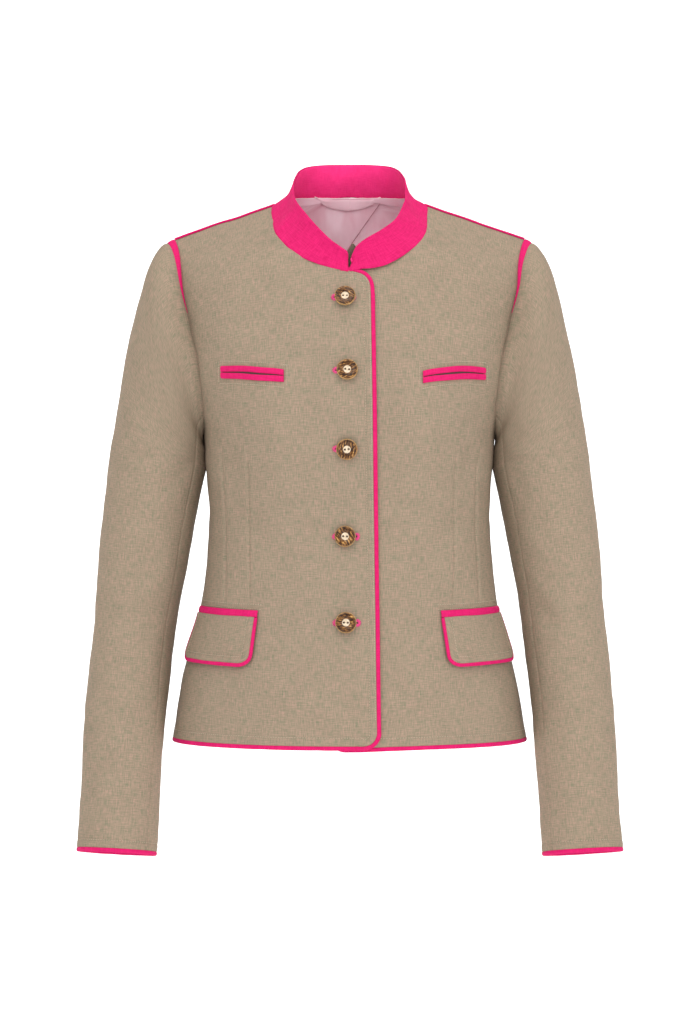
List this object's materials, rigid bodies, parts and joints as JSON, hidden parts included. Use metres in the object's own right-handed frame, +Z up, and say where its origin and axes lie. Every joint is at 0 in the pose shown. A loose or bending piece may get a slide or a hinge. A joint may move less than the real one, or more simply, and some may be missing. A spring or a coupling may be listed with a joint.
{
  "type": "linen jacket",
  "caption": "Fitted hip-length linen jacket in its worn form, with a stand collar, contrast piping, flap pockets and a buttoned front.",
  "frame": {"origin": "centre of the neck's base, level with the side neck points, where the wearer's shoulders hold the jacket", "axes": "+Z up towards the collar, front towards -Y, +X towards the wearer's left"},
  "size_m": [0.548, 0.2395, 0.7112],
  "materials": {
    "linen": "matt melange linen, plain weave",
    "pink_trim": "matt hot-pink linen",
    "lining": "soft dusty-pink satin",
    "horn": "polished brown streaked horn look"
  },
  "bodies": {
    "root": {"front_right": "linen", "front_left": "linen", "collar": "pink_trim", "back_lining": "lining", "hem_piping_back": "pink_trim", "hanger_loop": "lining", "neck_facing": "linen", "back_left": "linen", "upper_sleeve_left": "linen", "under_sleeve_left": "linen", "armhole_insert_left": "pink_trim", "shoulder_piping_left": "pink_trim", "front_piping_left": "pink_trim", "cuff_piping_left": "pink_trim", "chest_welt_upper_left": "pink_trim", "chest_welt_lower_left": "pink_trim", "flap_left": "linen", "flap_piping_left": "pink_trim", "flap_welt_left": "pink_trim", "back_right": "linen", "upper_sleeve_right": "linen", "under_sleeve_right": "linen", "armhole_insert_right": "pink_trim", "shoulder_piping_right": "pink_trim", "front_piping_right": "pink_trim", "cuff_piping_right": "pink_trim", "chest_welt_upper_right": "pink_trim", "chest_welt_lower_right": "pink_trim", "flap_right": "linen", "flap_piping_right": "pink_trim", "flap_welt_right": "pink_trim", "button_1": "horn", "button_2": "horn", "button_3": "horn", "button_4": "horn", "button_5": "horn"}
  },
  "joints": []
}
